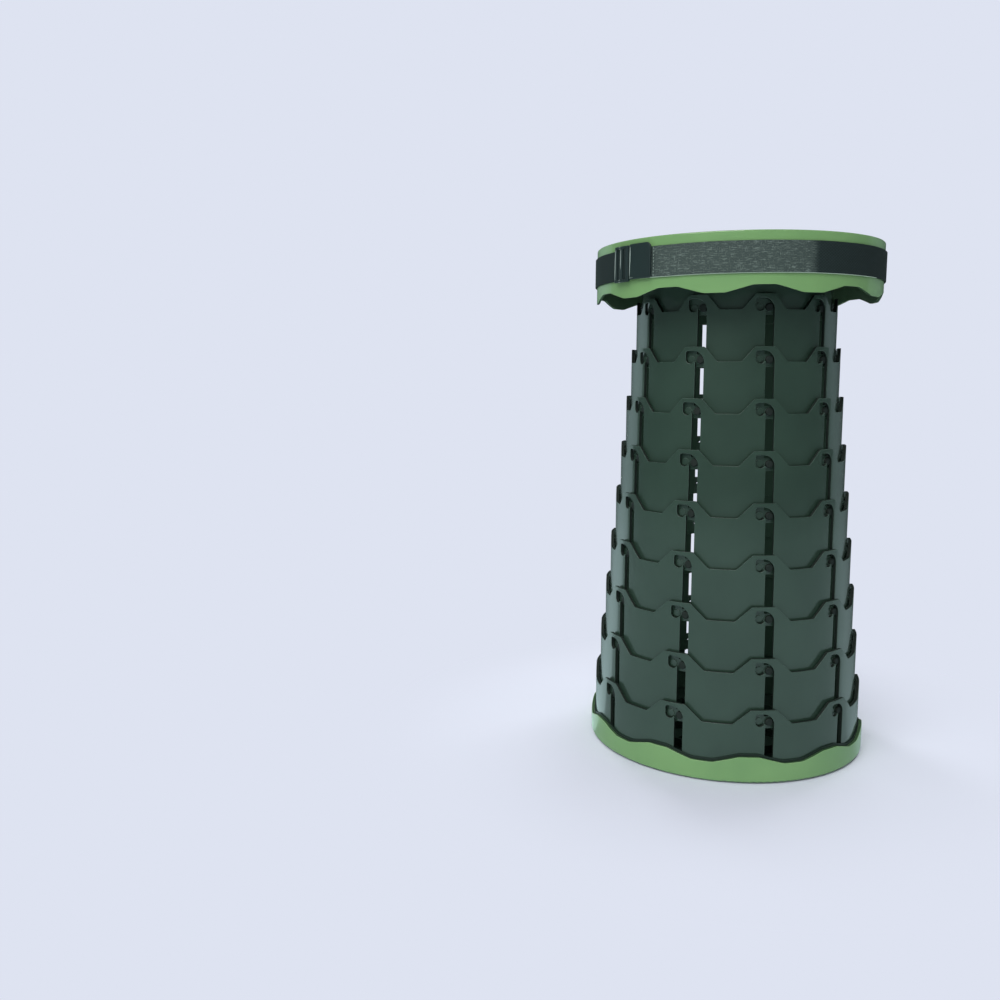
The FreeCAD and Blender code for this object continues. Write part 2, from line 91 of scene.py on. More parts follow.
class Value:
    """A number or link in a node tree, with arithmetic that adds Math nodes."""

    def __init__(self, graph: "Graph", socket: Any) -> None:
        """Wrap one output socket of a graph."""
        self.graph = graph
        self.socket = socket

    def _math(self, operation: str, *values: Any) -> "Value":
        """Add one Math node on these values."""
        return self.graph.node("ShaderNodeMath", {"operation": operation}, list(values))

    def __add__(self, other: Any) -> "Value":
        """Sum."""
        return self._math("ADD", self, other)

    def __radd__(self, other: Any) -> "Value":
        """Sum with a number on the left."""
        return self._math("ADD", other, self)

    def __sub__(self, other: Any) -> "Value":
        """Difference."""
        return self._math("SUBTRACT", self, other)

    def __rsub__(self, other: Any) -> "Value":
        """Difference from a number on the left."""
        return self._math("SUBTRACT", other, self)

    def __mul__(self, other: Any) -> "Value":
        """Product."""
        return self._math("MULTIPLY", self, other)

    def __rmul__(self, other: Any) -> "Value":
        """Product with a number on the left."""
        return self._math("MULTIPLY", other, self)

    def __truediv__(self, other: Any) -> "Value":
        """Quotient."""
        return self._math("DIVIDE", self, other)

    def __rtruediv__(self, other: Any) -> "Value":
        """Quotient of a number on the left."""
        return self._math("DIVIDE", other, self)

    def __pow__(self, other: Any) -> "Value":
        """Power."""
        return self._math("POWER", self, other)

    def __rpow__(self, other: Any) -> "Value":
        """Power of a number on the left."""
        return self._math("POWER", other, self)

    def output(self, key: int | str) -> "Value":
        """Another output of the node that this value comes from."""
        return Value(self.graph, self.socket.node.outputs[key])

    def sine(self) -> "Value":
        """Sine of the value in radians."""
        return self._math("SINE", self)

    def size(self) -> "Value":
        """Absolute value."""
        return self._math("ABSOLUTE", self)

    def most(self, other: Any) -> "Value":
        """The larger of two values."""
        return self._math("MAXIMUM", self, other)

    def least(self, other: Any) -> "Value":
        """The smaller of two values."""
        return self._math("MINIMUM", self, other)

    def ramp(self, low: float, high: float, start: float = 0.0, end: float = 1.0) -> "Value":
        """Smooth step from start to end as the value goes from low to high.

        Args:
            low: Value where the step begins.
            high: Value where it ends.
            start: Result below the step.
            end: Result above it.

        Returns:
            The stepped value.
        """
        return self.graph.node(
            "ShaderNodeMapRange", {"interpolation_type": "SMOOTHSTEP"},
            [self, low, high, start, end])


class Graph:
    """Node tree of one material, or of the world."""

    def __init__(self, name: str) -> None:
        """Start a material with a Principled shader.

        Args:
            name: Name of the material.
        """
        self.material = bpy.data.materials.new(name)
        self.material.use_nodes = True
        self.tree = self.material.node_tree
        self.tree.nodes.clear()
        self.shader = self.add("ShaderNodeBsdfPrincipled", {}, {})
        surface = Value(self, self.shader.outputs[0])
        self.output = self.add("ShaderNodeOutputMaterial", {}, [surface])

    @classmethod
    def of_tree(cls, tree: Any) -> "Graph":
        """Empty graph on a node tree that is there already.

        Args:
            tree: The node tree, which is emptied.

        Returns:
            The graph, without a shader.
        """
        graph = cls.__new__(cls)
        graph.tree = tree
        tree.nodes.clear()
        return graph

    def plug(self, socket: Any, value: Any) -> None:
        """Set a socket to a number or colour, or link it to a Value.

        Args:
            socket: Input socket of a node.
            value: Number, colour or Value, or None to leave it alone.
        """
        if value is None:
            return
        if isinstance(value, Value):
            self.tree.links.new(value.socket, socket)
        elif hasattr(socket.default_value, "__len__"):
            parts = list(value)
            wide = len(socket.default_value)
            socket.default_value = (parts + [1.0])[:wide] if len(parts) < wide else parts[:wide]
        else:
            socket.default_value = value

    def add(self, kind: str, settings: dict[str, Any],
            inputs: Sequence[Any] | dict[Any, Any]) -> bpy.types.Node:
        """Add a node.

        Args:
            kind: Blender's name of the node type.
            settings: Properties that are set before the sockets.
            inputs: Values in socket order, or by socket name or index.

        Returns:
            The node.
        """
        made = self.tree.nodes.new(kind)
        for key, value in settings.items():
            setattr(made, key, value)
        pairs = inputs.items() if isinstance(inputs, dict) else enumerate(inputs)
        for key, value in pairs:
            self.plug(made.inputs[key], value)
        return made

    def node(self, kind: str, settings: dict[str, Any], inputs: Sequence[Any] | dict[Any, Any],
             output: int | str = 0) -> Value:
        """Value of one output of a new node."""
        return Value(self, self.add(kind, settings, inputs).outputs[output])

    def place(self) -> Value:
        """Object coordinates in metres."""
        return self.node("ShaderNodeTexCoord", {}, {}, "Object")

    def uv(self, layer: str) -> tuple[Value, Value]:
        """Lengths along and across a piece, from its UV layer in metres."""
        along, across, _ = self.parts(self.node("ShaderNodeUVMap", {"uv_map": layer}, {}))
        return along, across

    def parts(self, vector: Value) -> tuple[Value, Value, Value]:
        """X, Y and Z of a vector."""
        x = self.node("ShaderNodeSeparateXYZ", {}, [vector])
        return x, x.output(1), x.output(2)

    def joined(self, x: Any, y: Any, z: Any) -> Value:
        """Vector of three values."""
        return self.node("ShaderNodeCombineXYZ", {}, [x, y, z])

    def scaled(self, vector: Value, scale: Sequence[float]) -> Value:
        """Vector times a fixed scale in each direction."""
        return self.node("ShaderNodeMapping", {}, {"Vector": vector, "Scale": scale})

    def cloud(self, vector: Value, scale: float, detail: float = 2.0, rough: float = 0.5) -> Value:
        """Noise from 0 to 1 at a scale in features per metre."""
        return self.node("ShaderNodeTexNoise", {},
                         {"Vector": vector, "Scale": scale, "Detail": detail, "Roughness": rough})

    def mixed(self, share: Any, first: Any, second: Any) -> Value:
        """Colour between two colours."""
        return self.node("ShaderNodeMix", {"data_type": "RGBA"}, {0: share, 6: first, 7: second}, 2)

    def bumped(self, height: Value, depth: float) -> None:
        """Send a height from 0 to 1 to the shader's normal, at a real depth in metres.

        Args:
            height: Height of the relief.
            depth: Its depth in metres.
        """
        normal = self.node("ShaderNodeBump", {},
                           {"Strength": 1.0, "Distance": depth, "Height": height})
        self.plug(self.shader.inputs["Normal"], normal)

    def finish(self, **sockets: Any) -> bpy.types.Material:
        """Set the shader's sockets by name, with underscores for spaces, and return the material.

        Args:
            **sockets: Number, colour or Value of each socket.

        Returns:
            The material.
        """
        for name, value in sockets.items():
            title = name.replace("_", " ").title().replace("Ior", "IOR")
            self.plug(self.shader.inputs[title], value)
        return self.material


@dataclass(frozen=True)
class MouldedPlastic:
    """Satin moulded plastic with a fine spark-eroded grain and faint colour drift."""

    name: str
    colour: Colour
    shade: Colour
    roughness: float = 0.42
    grain_per_metre: float = 1400.0
    grain_depth: float = 0.03 * MM
    drift_per_metre: float = 14.0
    flow_per_metre: float = 60.0
    scuff_per_metre: float = 180.0
    gloss: float = 0.5
    polish: float = 0.0
    polish_roughness: float = 0.06
    polish_ior: float = 1.7

    def build(self) -> bpy.types.Material:
        """Make the material.

        Returns:
            The material.
        """
        graph = Graph(self.name)
        place = graph.place()
        grain = graph.cloud(place, self.grain_per_metre, 3.0, 0.6)
        drift = graph.cloud(place, self.drift_per_metre, 3.0, 0.55).ramp(0.3, 0.7)
        drawn = graph.scaled(place, (1.0, 1.0, 0.25))
        flow = graph.cloud(drawn, self.flow_per_metre, 4.0, 0.6)
        scuff = graph.cloud(place, self.scuff_per_metre, 5.0, 0.7).ramp(0.62, 0.8)
        colour = graph.mixed(drift * 0.7 + flow * 0.3, self.colour, self.shade)
        roughness = self.roughness + scuff * 0.12 + (flow - 0.5) * 0.1
        graph.bumped(grain * 0.7 + flow * 0.3, self.grain_depth)
        return graph.finish(base_color=colour, roughness=roughness,
                            specular_ior_level=self.gloss, coat_weight=self.polish,
                            coat_roughness=self.polish_roughness, coat_ior=self.polish_ior)


@dataclass(frozen=True)
class WovenWebbing:
    """Webbing: yarn rows along the band, picks across it, and pale mixed threads in the patch."""

    name: str
    colour: Colour
    gap_shade: Colour
    thread: Colour
    row_pitch: float = 1.15 * MM
    pick_pitch: float = 1.5 * MM
    weave_depth: float = 0.16 * MM
    wander_per_metre: float = 90.0
    fuzz_per_metre: float = 2600.0
    patch_lift: float = 0.16

    def build(self) -> bpy.types.Material:
        """Make the material.

        Returns:
            The material.
        """
        graph = Graph(self.name)
        along, across = graph.uv("webbing")
        place = graph.place()
        patch = graph.node("ShaderNodeAttribute", {"attribute_name": "patch"}, {}, "Fac")
        wander = (graph.cloud(place, self.wander_per_metre, 2.0, 0.5) - 0.5) * 0.9
        rows = (across * (math.pi / self.row_pitch) + wander).sine()
        picks = (along * (math.pi / self.pick_pitch) + wander).sine()
        yarn = (rows * picks * 0.5 + 0.5).ramp(0.05, 0.8)
        height = yarn * 0.6 + rows.size().ramp(0.0, 0.6) * 0.4
        long_threads = self.streaks(graph, along, across, 170.0, 1500.0, 0.0).ramp(0.53, 0.66)
        cross_threads = self.streaks(graph, along, across, 1300.0, 210.0, 5.0).ramp(0.57, 0.7)
        patchy = self.streaks(graph, along, across, 26.0, 60.0, 9.0).ramp(0.3, 0.7, 0.35, 1.0)
        pale = (long_threads * 0.75 + cross_threads * 0.5).least(1.0) * patchy * patch
        # Low parts of the weave take the darker colour: painted shade between the yarns.
        colour = graph.mixed(height, self.gap_shade, self.colour)
        colour = graph.mixed(patch * self.patch_lift, colour, self.thread)
        colour = graph.mixed(pale * 0.8, colour, self.thread)
        fuzz = graph.cloud(place, self.fuzz_per_metre, 3.0, 0.7)
        graph.bumped(height * 0.8 + fuzz * 0.1 + pale * 0.1, self.weave_depth)
        return graph.finish(base_color=colour, roughness=0.86 - yarn * 0.1,
                            specular_ior_level=0.25)

    def streaks(self, graph: Graph, along: Value, across: Value, along_scale: float,
                across_scale: float, shift: float) -> Value:
        """Noise stretched by different scales along and across the band."""
        return graph.cloud(graph.joined(along * along_scale, across * across_scale, shift),
                           1.0, 2.0, 0.6)


@dataclass(frozen=True)
class BrightMetal:
    """Plated metal with fine handling marks."""

    name: str
    colour: Colour
    roughness: float
    marks_per_metre: float = 900.0
    marks_depth: float = 0.01 * MM
    dull_per_metre: float = 300.0

    def build(self) -> bpy.types.Material:
        """Make the material.

        Returns:
            The material.
        """
        graph = Graph(self.name)
        place = graph.place()
        marks = graph.cloud(graph.scaled(place, (1.0, 1.0, 6.0)), self.marks_per_metre, 4.0, 0.7)
        dull = graph.cloud(place, self.dull_per_metre, 2.0).ramp(0.4, 0.75)
        graph.bumped(marks, self.marks_depth)
        return graph.finish(base_color=self.colour, metallic=1.0,
                            roughness=self.roughness + marks * 0.08 + dull * 0.1)


@dataclass(frozen=True)
class Rubber:
    """Matt rubber with a dusty bloom."""

    name: str
    colour: Colour
    bloom: Colour
    dust_per_metre: float = 240.0
    grain_per_metre: float = 1800.0
    grain_depth: float = 0.04 * MM

    def build(self) -> bpy.types.Material:
        """Make the material.

        Returns:
            The material.
        """
        graph = Graph(self.name)
        place = graph.place()
        dust = graph.cloud(place, self.dust_per_metre, 4.0, 0.65).ramp(0.45, 0.8)
        graph.bumped(graph.cloud(place, self.grain_per_metre, 2.0), self.grain_depth)
        return graph.finish(base_color=graph.mixed(dust * 0.5, self.colour, self.bloom),
                            roughness=0.75 + dust * 0.15)


@dataclass
class Finishes:
    """Every material of the stool, built once."""

    made: dict[str, bpy.types.Material] = field(default_factory=dict)

    def build(self) -> "Finishes":
        """Build the materials.

        Returns:
            The finishes themselves.
        """
        light = srgb(124, 167, 106)
        light_deep = srgb(113, 156, 99)
        dark = srgb(50, 72, 60)
        dark_deep = srgb(42, 63, 52)
        web = srgb(36, 50, 49)
        # Darker colour between the yarns: painted shade.
        web_gap_shade = srgb(22, 33, 32)
        web_thread = srgb(132, 150, 140)
        recipes = [
            MouldedPlastic("skirt", light, light_deep, roughness=0.4, gloss=0.3, polish=0.6),
            # Paler colour for the skirts' rounded edges: a painted highlight.
            MouldedPlastic("skirt_edge_highlight", srgb(158, 196, 140), light, roughness=0.28),
            # Darker colour for the skirts' cut faces and the seat rim's inside: painted shade.
            MouldedPlastic("skirt_cut_shade", srgb(60, 92, 60), srgb(54, 84, 55), roughness=0.5),
            MouldedPlastic("column", dark, dark_deep, roughness=0.42, gloss=0.25, polish=0.9),
            # Paler colour for the sleeves' rounded edges: a painted highlight.
            MouldedPlastic("column_edge_highlight", srgb(76, 98, 87), dark, roughness=0.28),
            # Dark colour for the sleeves' cut faces and lock pins: painted shade in the gaps
            # between sleeves and in the slot tops.
            MouldedPlastic("column_cut_shade", srgb(24, 37, 31), srgb(19, 31, 26), roughness=0.7),
            MouldedPlastic("tray", srgb(34, 50, 43), srgb(28, 43, 36), roughness=0.45),
            MouldedPlastic("panel", srgb(50, 72, 60), srgb(44, 64, 53), roughness=0.45,
                           grain_per_metre=700.0, grain_depth=0.08 * MM),
            MouldedPlastic("strap_plastic", srgb(36, 52, 51), srgb(31, 46, 45), roughness=0.4),
            # Pale colour for painted glints on the slider's bars, the keeper's edge and the ridges.
            MouldedPlastic("strap_painted_glint", srgb(158, 174, 166), srgb(138, 154, 146),
                           roughness=0.3),
            # Pale colour of the painted highlight along the band's lower edge, in front.
            MouldedPlastic("lower_edge_highlight", srgb(178, 200, 176), srgb(160, 184, 160), roughness=0.7),
            WovenWebbing("webbing", web, web_gap_shade, web_thread),
            BrightMetal("rivet", srgb(225, 225, 220), 0.16),
            BrightMetal("screw", srgb(190, 190, 186), 0.3),
            Rubber("foot", srgb(36, 39, 39), srgb(84, 88, 86)),
            Rubber("thread", srgb(120, 138, 128), srgb(150, 165, 156)),
        ]
        for recipe in recipes:
            self.made[recipe.name] = recipe.build()
        return self

    def __getitem__(self, name: str) -> bpy.types.Material:
        """Material of a name."""
        return self.made[name]


@dataclass(frozen=True)
class Shading:
    """Smooth normals: exact on round walls, and weighted by area where faces blend."""

    smooth_degrees: float = 50.0
    round_wall: float = 0.9995

    def normals(self, mesh: bmesh.types.BMesh) -> list[Vector]:
        """Normal of each face corner, in the mesh's order.

        Args:
            mesh: The finished bmesh.

        Returns:
            One normal for each corner of each face.
        """
        limit = math.cos(math.radians(self.smooth_degrees))
        sides = [self.side(face) for face in mesh.faces]
        areas = [face.calc_area() for face in mesh.faces]
        mesh.faces.index_update()
        found = []
        for face in mesh.faces:
            for loop in face.loops:
                if sides[face.index]:
                    found.append(self.radial(loop.vert, sides[face.index]))
                    continue
                total = Vector()
                for other in loop.vert.link_faces:
                    if other.normal.dot(face.normal) > limit:
                        side = sides[other.index]
                        normal = self.radial(loop.vert, side) if side else other.normal
                        total += normal * areas[other.index]
                found.append(total.normalized())
        return found

    def side(self, face: bmesh.types.BMFace) -> int:
        """1 on the outside of a round wall, -1 on its inside, 0 on any other face.

        Args:
            face: A face of the mesh.

        Returns:
            Which way it faces.
        """
        middle = face.calc_center_bounds()
        facing = face.normal.dot(Vector((middle.x, middle.y, 0.0)).normalized())
        return int(math.copysign(1, facing)) if abs(facing) > self.round_wall else 0

    def radial(self, vert: bmesh.types.BMVert, side: int) -> Vector:
        """Direction away from the axis, or towards it."""
        return Vector((vert.co.x, vert.co.y, 0.0)).normalized() * side


def finish_piece(name: str, mesh: bmesh.types.BMesh, materials: Iterable[bpy.types.Material],
                 body: Body | str, smooth_degrees: float = 35.0,
                 shading: Shading | None = None) -> bpy.types.Object:
    """Turn a bmesh into a piece that rides on a body.

    Args:
        name: Name of the piece.
        mesh: The bmesh, which is freed.
        materials: Materials in slot order.
        body: Body that it rides on.
        smooth_degrees: Edges that turn less than this look smooth.
        shading: Rule for the normals, in place of smooth_degrees.

    Returns:
        The object.
    """
    data = bpy.data.meshes.new(name)
    for face in mesh.faces:
        face.smooth = True
    if shading is None:
        for edge in mesh.edges:
            if len(edge.link_faces) == 2:
                edge.smooth = edge.calc_face_angle(0.0) < math.radians(smooth_degrees)
    normals = shading.normals(mesh) if shading else []
    mesh.to_mesh(data)
    mesh.free()
    if normals:
        data.normals_split_custom_set(normals)
    for material in materials:
        data.materials.append(material)
    piece = bpy.data.objects.new(name, data)
    bpy.context.scene.collection.objects.link(piece)
    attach(piece, body.value if isinstance(body, Body) else body)
    return piece


def merged_copy(node: str, weld: float = 0.002 * MM, level: float = 0.99,
                flat_degrees: float = 0.6) -> bmesh.types.BMesh:
    """Closed copy of a CAD node's mesh, with its flat faces joined except the level rings.

    Args:
        node: Name of the CAD node.
        weld: Points closer than this are merged.
        level: Faces whose normal rises more than this keep their triangles.
        flat_degrees: Faces that turn less than this are joined.

    Returns:
        The copy.
    """
    mesh = bmesh.new()
    mesh.from_mesh(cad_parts[node].data)
    bmesh.ops.remove_doubles(mesh, verts=mesh.verts, dist=weld)
    upright = [edge for edge in mesh.edges
               if any(abs(face.normal.z) < level for face in edge.link_faces)]
    corners = {vert for edge in upright for vert in edge.verts
               if all(abs(face.normal.z) < level for face in vert.link_faces)}
    bmesh.ops.dissolve_limit(mesh, angle_limit=math.radians(flat_degrees), verts=list(corners),
                             edges=upright, use_dissolve_boundaries=False, delimit={"NORMAL"})
    return mesh


def round_edges(mesh: bmesh.types.BMesh, width: float,
                sharp_degrees: float) -> list[bmesh.types.BMFace]:
    """Bevel the edges of a mesh that turn more than an angle.

    Args:
        mesh: The bmesh to work on.
        width: Width of the bevel.
        sharp_degrees: Edges that turn more than this are rounded.

    Returns:
        The faces of the rounded edges.
    """
    limit = math.radians(sharp_degrees)
    sharp = [edge for edge in mesh.edges
             if len(edge.link_faces) == 2 and edge.calc_face_angle(0.0) > limit]
    made = bmesh.ops.bevel(mesh, geom=sharp, offset=width, offset_type="OFFSET", affect="EDGES",
                           segments=2, profile=0.5, material=-1, clamp_overlap=False)
    return made["faces"]


class Face(Enum):
    """Material index of a moulded piece's faces."""

    WALL = 0
    EDGE = 1
    CUT = 2


@dataclass(frozen=True)
class Moulding:
    """Copy of a CAD node whose rounded edges take a paler colour as a painted highlight, and whose
    cut faces take their own colour, painted shade on the column and skirts.
    """

    node: str
    body: Body | str
    slot: Slot
    wall: str
    edge: str
    cut: str
    edge_width: float = 0.25 * MM
    sharp_degrees: float = 40.0
    pin_from: float = 0.0
    # Angles of the upright rounded edges that keep the pale edge colour as a painted glint.
    glint_degrees: tuple[float, ...] = ()
    glint_tolerance: float = 0.3
    # Whether inward faces take the cut colour as painted shade.
    painted_shade_inside: bool = False
    wall_facing: float = 0.7
    top_facing: float = 0.3

    def build(self, finishes: Finishes) -> bpy.types.Object:
        """Make the piece that stands for the node.

        Args:
            finishes: Every material of the stool.

        Returns:
            The piece.
        """
        mesh = merged_copy(self.node)
        # Cut faces take the cut colour, which is painted shade on the column and skirts.
        for face in mesh.faces:
            face.material_index = self.kind(face).value
        solid = BVHTree.FromBMesh(mesh)
        # Rounded edges take the paler edge colour, a painted highlight.
        for face in round_edges(mesh, self.edge_width, self.sharp_degrees):
            face.material_index = Face.EDGE.value
        self.pull_back(mesh, solid)
        # Lock pins take the cut colour as painted shade in the slot tops; rounded edges away from
        # the glint angles take it too.
        for face in mesh.faces:
            if self.on_pin(face) or self.plain_edge(face):
                face.material_index = Face.CUT.value
        materials = [finishes[name] for name in (self.wall, self.edge, self.cut)]
        piece = finish_piece(self.node + "_moulded", mesh, materials, self.body,
                             shading=Shading())
        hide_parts(self.node)
        return piece

    def pull_back(self, mesh: bmesh.types.BMesh, solid: BVHTree) -> None:
        """Return the few points that a tight bevel threw away from the solid.

        Args:
            mesh: The rounded copy.
            solid: Surface of the copy before it was rounded.
        """
        for vert in mesh.verts:
            nearest, _, _, distance = solid.find_nearest(vert.co)
            if distance > self.edge_width / 2:
                vert.co = nearest

    def on_pin(self, face: bmesh.types.BMFace) -> bool:
        """Whether a face lies on a lock pin, outside the sleeve's wall."""
        return bool(self.pin_from) and face.calc_center_median().xy.length > self.pin_from

    def plain_edge(self, face: bmesh.types.BMFace) -> bool:
        """Whether a rounded edge lies away from the few upright ones that keep a painted glint.

        Args:
            face: A face of the rounded copy.

        Returns:
            True where the edge takes the colour of the cut faces.
        """
        if not self.glint_degrees or face.material_index != Face.EDGE.value:
            return False
        middle = face.calc_center_median()
        angle = math.degrees(math.atan2(middle.x, -middle.y))
        return min(abs(angle - pale) for pale in self.glint_degrees) > self.glint_tolerance

    def kind(self, face: bmesh.types.BMFace) -> Face:
        """Tell a wall from a cut face.

        Args:
            face: A face of the copy, before it is rounded.

        Returns:
            Its kind.
        """
        middle = face.calc_center_median()
        facing = face.normal.dot(Vector((middle.x, middle.y, 0.0)).normalized())
        if self.painted_shade_inside and face.normal.z > self.top_facing:
            return Face.WALL
        # Inward faces take the cut colour: painted shade inside the rim.
        if self.painted_shade_inside and facing < 0.0:
            return Face.CUT
        return Face.WALL if abs(facing) > self.wall_facing else Face.CUT


@dataclass
class Column:
    """Seat tube and the nine slotted sleeves."""

    sleeves: int = 9
    pin_margin: float = 1.0 * MM

    def bodies(self) -> dict[str, Body | str]:
        """Body of each sleeve node."""
        found = {f"sleeve_{number}": f"tier_{number}" for number in range(1, self.sleeves)}
        return found | {f"sleeve_{self.sleeves}": Body.BASE, "seat_tube": Body.SEAT}

    def build(self, finishes: Finishes) -> list[bpy.types.Object]:
        """Make the sleeves and the tube.

        Args:
            finishes: Every material of the stool.

        Returns:
            The pieces.
        """
        mouldings = [Moulding(node, body, Slot.COLUMN, "column", "column_edge_highlight", "column_cut_shade",
                              pin_from=self.wall_radius(node) + self.pin_margin)
                     for node, body in self.bodies().items()]
        return [moulding.build(finishes) for moulding in mouldings]

    def wall_radius(self, node: str) -> float:
        """Outer radius of a sleeve's wall, measured in its upper half.

        Args:
            node: Name of the sleeve's CAD node.

        Returns:
            The radius in metres.
        """
        low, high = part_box(node)
        middle = (low.z + high.z) / 2.0
        return max(vert.co.xy.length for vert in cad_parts[node].data.vertices
                   if vert.co.z > middle)


def paint(node: str, material: bpy.types.Material) -> bpy.types.Object:
    """Give a CAD node one material.

    Args:
        node: Name of the CAD node.
        material: Its material.

    Returns:
        The node's object.
    """
    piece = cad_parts[node]
    piece.data.materials.clear()
    piece.data.materials.append(material)
    return piece


@dataclass
class Shells:
    """Rigid pieces of the base and the seat."""

    finish_of: dict[str, str] = field(default_factory=lambda: {
        "foot_pads": "foot", "base_tray": "tray", "seat_panel": "panel",
        "seat_carrier": "panel", "seat_screws": "screw", "strap_rivets": "rivet",
        "rivet_washers": "rivet"})

    def build(self, finishes: Finishes) -> list[bpy.types.Object]:
        """Paint the plain pieces and mould the others.

        Args:
            finishes: Every material of the stool.

        Returns:
            The pieces.
        """
        painted = [paint(node, finishes[finish]) for node, finish in self.finish_of.items()]
        skirt = ("skirt", "skirt_edge_highlight", "skirt_cut_shade")
        strap = ("strap_plastic", "strap_painted_glint", "strap_plastic")
        mouldings = [
            Moulding("base_skirt", Body.BASE, Slot.SKIRT, *skirt),
            Moulding("seat_skirt", Body.SEAT, Slot.SKIRT, *skirt, edge_width=0.1 * MM,
                     painted_shade_inside=True),
            # Pale edges only at these angles: painted glints on the slider's bars and the keeper's
            # edge.
            Moulding("strap_slider", Body.SEAT, Slot.STRAP_PLASTIC, *strap,
                     edge_width=0.5 * MM, glint_degrees=(-50.8, -47.41)),
            Moulding("strap_keeper", Body.SEAT, Slot.STRAP_PLASTIC, *strap,
                     edge_width=0.4 * MM, glint_degrees=(-42.3,)),
        ]
        return painted + [moulding.build(finishes) for moulding in mouldings]


@dataclass
class Webbing:
    """Band of webbing round the seat rim, from rivets to rivets."""

    thickness: float = 1.4 * MM
    steps: int = 288
    face_rows: int = 12
    patch_from: float = -32.0
    patch_to: float = 28.0
    patch_fade: float = 3.0
    edge_round: float = 0.45 * MM
    # Angles between which the band's lower edge carries a painted highlight.
    lower_edge_highlight_from: float = -38.0
    lower_edge_highlight_to: float = 62.0
    swell: float = 0.12 * MM
    swells_per_metre: float = 70.0
    sunk: float = 0.1 * MM
    waver: float = 0.25 * MM
    wavers_per_metre: float = 28.0

    def section(self, inner: float, outer: float, low: float, high: float) -> list[Vector]:
        """Rounded outline of the band's section in the front plane.

        Args:
            inner: Inner radius of the band.
            outer: Outer radius of the band.
            low: Height of its lower edge.
            high: Height of its upper edge.

        Returns:
            The outline's points in order.
        """
        soft = self.edge_round
        points = [Vector((0, -inner, low + soft)), Vector((0, -inner - soft, low))]
        points += [Vector((0, -outer + soft, low)), Vector((0, -outer, low + soft))]
        for index in range(1, self.face_rows):
            rise = low + soft + (high - low - 2 * soft) * index / self.face_rows
            points.append(Vector((0, -outer, rise)))
        points += [Vector((0, -outer, high - soft)), Vector((0, -outer + soft, high))]
        points += [Vector((0, -inner - soft, high)), Vector((0, -inner, high - soft))]
        return points

    def build(self, finishes: Finishes) -> list[bpy.types.Object]:
        """Make the band.

        Args:
            finishes: Every material of the stool.

        Returns:
            The piece, alone in its list.
        """
        low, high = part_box("strap_band")
        outer = high.x
        inner = outer - self.thickness
        end = math.acos(max(-1.0, min(1.0, -high.y / outer)))
        mesh = bmesh.new()
        verts = [mesh.verts.new(point) for point in self.section(inner, outer, low.z, high.z)]
        edges = [mesh.edges.new((verts[i], verts[(i + 1) % len(verts)])) for i in range(len(verts))]
        start = Matrix.Rotation(-end, 3, "Z")
        bmesh.ops.rotate(mesh, cent=(0, 0, 0), matrix=start, verts=mesh.verts)
        mesh.faces.new(verts)
        bmesh.ops.spin(mesh, geom=list(edges), cent=(0, 0, 0), axis=(0, 0, 1), angle=2 * end,
                       steps=self.steps, use_merge=False, use_duplicate=False)
        rim = [edge for edge in mesh.edges if edge.is_boundary]
        bmesh.ops.contextual_create(mesh, geom=rim)
        bmesh.ops.recalc_face_normals(mesh, faces=mesh.faces)
        self.ripple(mesh, inner, outer)
        self.mark(mesh, outer)
        self.edge_below(mesh, (inner + outer) / 2, low.z)
        piece = finish_piece("webbing_band", mesh, [finishes["webbing"], finishes["lower_edge_highlight"]],
                             Body.SEAT)
        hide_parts("strap_band")
        return [piece]

    def edge_below(self, mesh: bmesh.types.BMesh, middle: float, low: float) -> None:
        """Give the lower outer edge a pale painted highlight, in front.

        Args:
            mesh: The bmesh to work on.
            middle: Radius of the band's middle layer.
            low: Height of its lower edge.
        """
        for face in mesh.faces:
            place = face.calc_center_median()
            angle = math.degrees(math.atan2(place.x, -place.y))
            if (place.xy.length > middle and place.z < low + self.edge_round
                    and self.lower_edge_highlight_from < angle < self.lower_edge_highlight_to):
                face.material_index = 1

    def ripple(self, mesh: bmesh.types.BMesh, inner: float, outer: float) -> None:
        """Let the band's outer face and edges wander a little.

        Args:
            mesh: The bmesh to work on.
            inner: Inner radius of the band.
            outer: Outer radius of the band.
        """
        for vert in mesh.verts:
            radius = vert.co.xy.length
            share = (radius - inner) / (outer - inner)
            swell = noise.noise(vert.co * self.swells_per_metre) * self.swell * share
            vert.co.xy *= (radius + swell - self.sunk * share) / radius
            vert.co.z += noise.noise(vert.co.xy.to_3d() * self.wavers_per_metre) * self.waver

    def mark(self, mesh: bmesh.types.BMesh, outer: float) -> None:
        """Lay the UV map along the band and mark its paler front patch.

        Args:
            mesh: The bmesh to work on.
            outer: Outer radius of the band.
        """
        layer = mesh.loops.layers.uv.new("webbing")
        patch = mesh.verts.layers.float.new("patch")
        for vert in mesh.verts:
            angle = math.degrees(math.atan2(vert.co.x, -vert.co.y))
            rise = min(angle - self.patch_from, self.patch_to - angle) / self.patch_fade
            vert[patch] = max(0.0, min(1.0, rise + 0.5))
        for face in mesh.faces:
            for loop in face.loops:
                angle = math.atan2(loop.vert.co.x, -loop.vert.co.y)
                loop[layer].uv = (angle * outer, loop.vert.co.z)


